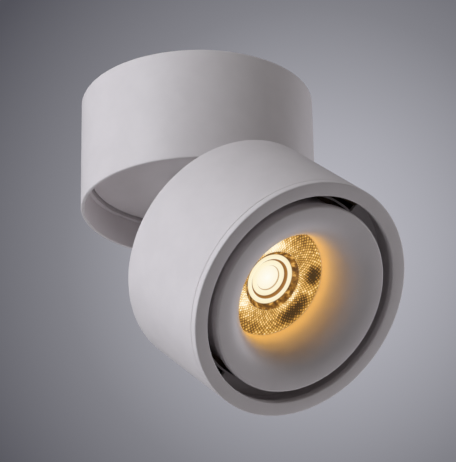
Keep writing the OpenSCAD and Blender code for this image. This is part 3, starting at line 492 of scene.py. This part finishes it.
# A diamond's number is its row in each of the two swirls that cross on the dish. The number
# picks the level of its painted glint, and its middle, far from the sides of both rows, gets a
# painted highlight.
across = add_node(tree, "ShaderNodeMapRange", {
    "Value": angle, "From Min": 0.0, "From Max": 2 * math.pi, "To Max": FACETS_ROUND}, clamp=False)
along = add_node(tree, "ShaderNodeMapRange", {
    "Value": radius, "From Min": DISH_OUT_R, "From Max": DISH_OUT_R - 2 * facet_step}, clamp=False)
rows, crown_highlights = [], []
for swirl in ("ADD", "SUBTRACT"):
    lean = add_node(
        tree, "ShaderNodeMath", {0: across.outputs[0], 1: along.outputs[0]}, operation=swirl)
    row = add_node(tree, "ShaderNodeMath", {0: lean.outputs[0]}, operation="FLOOR")
    rows.append(add_node(tree, "ShaderNodeMath", {
        0: row.outputs[0], 1: FACETS_ROUND}, operation="FLOORED_MODULO").outputs[0])
    in_row = add_node(tree, "ShaderNodeMath", {0: lean.outputs[0]}, operation="FRACT")
    crown_highlights.append(hump(in_row.outputs[0], 0.5, CROWN_REACH, 1.0))
diamond = add_node(tree, "ShaderNodeCombineXYZ", {0: rows[0], 1: rows[1]})
chance = add_node(
    tree, "ShaderNodeTexWhiteNoise", {"Vector": diamond.outputs[0]}, noise_dimensions="2D")
glint_level = add_node(tree, "ShaderNodeMapRange", {
    "Value": chance.outputs["Value"], "To Min": FACET_GLINT_LEVELS[0], "To Max": FACET_GLINT_LEVELS[1]})
crown_highlight = add_node(tree, "ShaderNodeMath", {0: crown_highlights[0], 1: crown_highlights[1]}, operation="MULTIPLY")
level = add_node(tree, "ShaderNodeMath", {
    0: crown_highlight.outputs[0], 1: CROWN_HIGHLIGHT, 2: glint_level.outputs[0]}, operation="MULTIPLY_ADD")

degrees = add_node(tree, "ShaderNodeMath", {0: angle}, operation="DEGREES")
for at_angle, angle_reach, at_radius, radius_reach, adds in LIGHT_AND_SHADE_FIELDS:
    past = add_node(
        tree, "ShaderNodeMath", {0: degrees.outputs[0], 1: at_angle}, operation="SUBTRACT")
    turn = add_node(
        tree, "ShaderNodeMath", {0: past.outputs[0], 1: 180, 2: -180}, operation="WRAP")
    level = add_node(tree, "ShaderNodeMath", {
        0: hump(turn.outputs[0], 0, angle_reach, adds),
        1: hump(radius, at_radius, radius_reach, 1.0),
        2: level.outputs[0]}, operation="MULTIPLY_ADD")
dish_tone = add_node(tree, "ShaderNodeValToRGB", {"Fac": level.outputs[0]}, DISH_TONES)

from_centre = add_node(
    tree, "ShaderNodeMath", {0: radius, 1: DISH_IN_R}, operation="DIVIDE", use_clamp=True)
core_tone = add_node(
    tree, "ShaderNodeValToRGB", {"Fac": from_centre.outputs[0]},
    [(at_radius / DISH_IN_R, colour) for at_radius, colour in CORE_TONES])
# Painted glints and shade on the well's wall, placed by position.
wall_glints = add_node(tree, "ShaderNodeTexNoise", {
    "Vector": in_head, "Scale": 1 / WALL_GLINT_MM, "Detail": WALL_GLINT_DETAIL})
wall_tone = add_node(tree, "ShaderNodeValToRGB", {"Fac": wall_glints.outputs["Fac"]}, WALL_TONES)
on_wall = add_node(tree, "ShaderNodeMath", {0: radius, 1: WALL_R}, operation="GREATER_THAN")
well_tone = add_node(tree, "ShaderNodeMix", {
    "Factor": on_wall.outputs[0], "A": core_tone.outputs["Color"],
    "B": wall_tone.outputs["Color"]}, data_type="RGBA")
in_well = add_node(tree, "ShaderNodeMath", {0: radius, 1: DISH_IN_R}, operation="LESS_THAN")
lens_tone = add_node(tree, "ShaderNodeMix", {
    "Factor": in_well.outputs[0], "A": dish_tone.outputs["Color"],
    "B": well_tone.outputs["Result"]}, data_type="RGBA")

# The camera sees the painted tones, with their glints, highlights and shade. To everything else
# the lens is lit in the warm glow of its rim.
seen = add_node(tree, "ShaderNodeLightPath").outputs["Is Camera Ray"]
strength = add_node(tree, "ShaderNodeMix", {
    "Factor": seen, "A": hump(radius, GLOW_R, GLOW_REACH, GLOW_STRENGTH), "B": 1.0})
colour = add_node(tree, "ShaderNodeMix", {
    "Factor": seen, "A": paint(GLOW), "B": lens_tone.outputs["Result"]}, data_type="RGBA")
tree.links.new(colour.outputs["Result"], shader.inputs["Emission Color"])
tree.links.new(strength.outputs["Result"], shader.inputs["Emission Strength"])
shader.inputs["Base Color"].default_value = paint(LENS_SHADE)
shader.inputs["Roughness"].default_value = LENS_ROUGHNESS
hang_on_head(lens, "lens_clear", lit_lens, "lens")

# Spring clips: two leaves of browned spring steel on the optic frame. Each has a foot, a bend, and
# a hook that catches behind the bezel's flange after reaching through its slot. A leaf's path is
# out from the clip's radius and up from the frame, in mm.
CLIP_ANGLES, CLIP_R, CLIP_W, CLIP_T, CLIP_ROUND = (8, 205), 43.2, 8.0, 0.5, 0.1
CLIP_PATH = [(-3.0, -0.25), (-0.9, -0.25), (-0.3, -0.45), (0, -1.1), (0, -14.6),
             (1.4, -16.4), (1.15, -16.75)]
FRAME_DEPTH = 23.0
TONE_EDGES, WEAR, GRAIN_LEVELS = (0.3, 0.7), 0.15, 4.0


def grained(name, dark, light, grain_mm, roughness, metallic=0.0, relief_mm=0.0,
            stretch=(1, 1, 1)):
    """A material with two close tones in a noise of a real grain size, and a slight relief.

    The finest grains are drawn about as coarse as the render can show.
    """
    material, tree, shader = new_material(name)
    place = add_node(tree, "ShaderNodeTexCoord").outputs["Object"]
    drawn = add_node(tree, "ShaderNodeMapping", {"Vector": place, "Scale": stretch})
    noise = add_node(tree, "ShaderNodeTexNoise", {
        "Vector": drawn.outputs["Vector"], "Scale": 1 / (grain_mm * MM), "Detail": GRAIN_LEVELS})
    tone = add_node(tree, "ShaderNodeValToRGB", {"Fac": noise.outputs["Fac"]},
                    list(zip(TONE_EDGES, (dark, light))))
    wear = add_node(tree, "ShaderNodeMapRange", {
        "Value": noise.outputs["Fac"], "To Min": roughness * (1 - WEAR),
        "To Max": roughness * (1 + WEAR)})
    tree.links.new(tone.outputs["Color"], shader.inputs["Base Color"])
    tree.links.new(wear.outputs["Result"], shader.inputs["Roughness"])
    if relief_mm:
        bump = add_node(tree, "ShaderNodeBump", {
            "Height": noise.outputs["Fac"], "Distance": relief_mm * MM})
        tree.links.new(bump.outputs["Normal"], shader.inputs["Normal"])
    shader.inputs["Metallic"].default_value = metallic
    return material


clip_steel = grained("browned_spring_steel", "#6E5238", "#9A7A55", grain_mm=1.5, roughness=0.32,
                     metallic=1.0)
frame_z = HEAD_FRONT + FRAME_DEPTH
for number, turn in enumerate(CLIP_ANGLES, start=1):
    bpy.ops.object.select_all(action="DESELECT")
    bpy.ops.mesh.primitive_plane_add(size=1, location=(0, 0, 0))
    clip = bpy.context.object
    clip.name = clip.data.name = f"spring_clip_{number}"
    bpy.ops.object.mode_set(mode="EDIT")
    bpy.ops.mesh.select_mode(type="VERT")
    bpy.ops.mesh.select_all(action="SELECT")
    bpy.ops.mesh.merge(type="CENTER")
    out, up = CLIP_PATH[0]
    bpy.ops.transform.translate(
        value=((CLIP_R + out) * MM, -CLIP_W / 2 * MM, (frame_z + up) * MM))
    bpy.ops.mesh.extrude_region_move(TRANSFORM_OT_translate={"value": (0, CLIP_W * MM, 0)})
    bpy.ops.mesh.select_all(action="SELECT")
    for start, end in zip(CLIP_PATH, CLIP_PATH[1:]):
        out, up = end[0] - start[0], end[1] - start[1]
        bpy.ops.mesh.extrude_region_move(TRANSFORM_OT_translate={"value": (out * MM, 0, up * MM)})
    bpy.ops.mesh.select_all(action="SELECT")
    bpy.ops.mesh.remove_doubles(threshold=WELD_MM * MM)
    bpy.ops.object.mode_set(mode="OBJECT")
    sheet = clip.modifiers.new("sheet", "SOLIDIFY")
    sheet.thickness, sheet.offset = CLIP_T * MM, 0
    edges = clip.modifiers.new("edges", "BEVEL")
    edges.width, edges.segments = CLIP_ROUND * MM, 2
    for modifier in ("sheet", "edges"):
        bpy.ops.object.modifier_apply(modifier=modifier)
    clip.matrix_world = Matrix.Rotation(math.radians(turn), 4, "Z") @ clip.matrix_world
    bpy.ops.object.transform_apply(location=True, rotation=True, scale=True)
    if number == 1:
        hang_on_head(clip, "clip_steel", clip_steel, "spring_clips")
    else:
        hang_on_head(clip, "clip_steel", clip_steel)

# Coated inner parts: the ledge and the plate in the canister's mouth, the bent hinge bracket and
# arm, the head's back plate with its clamp ring, and the tube inside the open ring. All have the
# canister's coat, and the thick ones have edges broken before it was sprayed.
COAT_BREAK, BREAK_ANGLE = 0.25, 40


def dress(material, *names):
    """Gives each named CAD node the material."""
    for name in names:
        nodes[name].data.materials.clear()
        nodes[name].data.materials.append(material)


def break_edges(width, *names):
    """Breaks the sharp edges of CAD nodes by a width in mm."""
    for name in names:
        bevel = nodes[name].modifiers.new("broken_edges", "BEVEL")
        bevel.width, bevel.segments = width * MM, 2
        bevel.angle_limit = math.radians(BREAK_ANGLE)
        bevel.limit_method, bevel.harden_normals = "ANGLE", True


dress(powder_coat, "cavity_ring", "swivel_plate", "hinge_bracket", "hinge_arm", "clamp_ring",
      "back_plate", "baffle_tube")
break_edges(COAT_BREAK, "hinge_arm", "hinge_bracket", "back_plate", "swivel_plate", "cavity_ring")

# The plate on the ceiling, the partition and the swivel's axle are zinc-plated steel, with the
# soft mottle of the plating, and the optic frame is painted dark brown for the shade deep in the
# slots that show it. Their edges are slightly broken.
STEEL_BREAK = 0.15

zinc = grained("zinc_plated_steel", "#9FA4A8", "#BEC2C5", grain_mm=4.0, roughness=0.38,
               metallic=1.0)
dress(zinc, "ceiling_plate", "partition", "hollow_nipple", "nipple_nut")
break_edges(STEEL_BREAK, "ceiling_plate", "partition", "hollow_nipple")
# Painted shade: the optic frame's dark brown stands for the shade deep in the bezel's slots.
dress(grained("dark_frame_painted_shade", "#4B3C30", "#6A5644", grain_mm=2.0, roughness=0.45,
              metallic=1.0), "optic_frame")

# Screws, hinge pin, hinge nut and washers: turned steel, bright and uncoated, with the fine grain
# that the tool leaves. The screws hold the plates, and the pin and its nut hold the head.
bright_steel = grained("bright_turned_steel", "#94979B", "#B4B7BA", grain_mm=0.6, roughness=0.30,
                       metallic=1.0)
dress(bright_steel, "side_screws", "partition_screws", "driver_screws", "bracket_screws",
      "hinge_pin", "hinge_nut", "hinge_washers", "arm_screws", "back_plate_screws",
      "led_holder_screws", "frame_screws", "baffle_screws")

# Heat sink: a finned block of machined aluminium behind the LED. The fine lines that the cutter
# leaves show as a grain that is stretched one way.
dress(grained("machined_aluminium", "#B4B7B9", "#CFD1D2", grain_mm=1.2, roughness=0.36,
              metallic=1.0, relief_mm=0.02, stretch=(1, 1, 0.15)), "heat_sink")

# Driver and terminal block in the canister: moulded plastic, with the fine even texture of a
# spark-eroded mould. The terminal block's screws are brass.
dress(grained("white_driver_plastic", "#DCDCD8", "#E8E8E4", grain_mm=0.5, roughness=0.55,
              relief_mm=0.03), "driver_case", "driver_cover")
dress(grained("ivory_terminal_plastic", "#DDD6C2", "#E8E2D0", grain_mm=0.8, roughness=0.45,
              relief_mm=0.02), "terminal_block")
dress(grained("brass", "#B8903C", "#D0AC58", grain_mm=0.8, roughness=0.30, metallic=1.0),
      "terminal_screws")

# The friction washer between the partition and the swivel plate's hub is cut from natural nylon
# sheet. The rings that the cable passes through are moulded black rubber, dull and a little rough.
dress(grained("natural_nylon", "#DDD8CA", "#EAE6DA", grain_mm=1.0, roughness=0.5),
      "friction_washer")
dress(grained("black_rubber", "#1E1E1F", "#2E2E30", grain_mm=0.7, roughness=0.75, relief_mm=0.03),
      "ceiling_grommet", "back_grommet")

# LED: a ceramic board with its yellow phosphor, on a grey thermal pad. A white moulded holder
# clamps it to the heat sink, under the lens's moulded cup.
PHOSPHOR_LIGHT, PHOSPHOR_STRENGTH = "#FFE9B0", 1.0

dress(grained("grey_thermal_pad", "#77808A", "#8A939C", grain_mm=0.5, roughness=0.8,
              relief_mm=0.02), "thermal_pad")
dress(grained("white_ceramic", "#DEDED8", "#EAEAE4", grain_mm=0.6, roughness=0.4), "led_board")
phosphor = grained("lit_phosphor", "#F0C44C", "#F6D060", grain_mm=0.4, roughness=0.6)
shader = phosphor.node_tree.nodes["Principled BSDF"]
shader.inputs["Emission Color"].default_value = paint(PHOSPHOR_LIGHT)
shader.inputs["Emission Strength"].default_value = PHOSPHOR_STRENGTH
dress(phosphor, "led_emitter")
dress(grained("white_holder_plastic", "#DFDFDB", "#EBEBE7", grain_mm=0.5, roughness=0.5,
              relief_mm=0.02), "led_holder", "lens_cup")
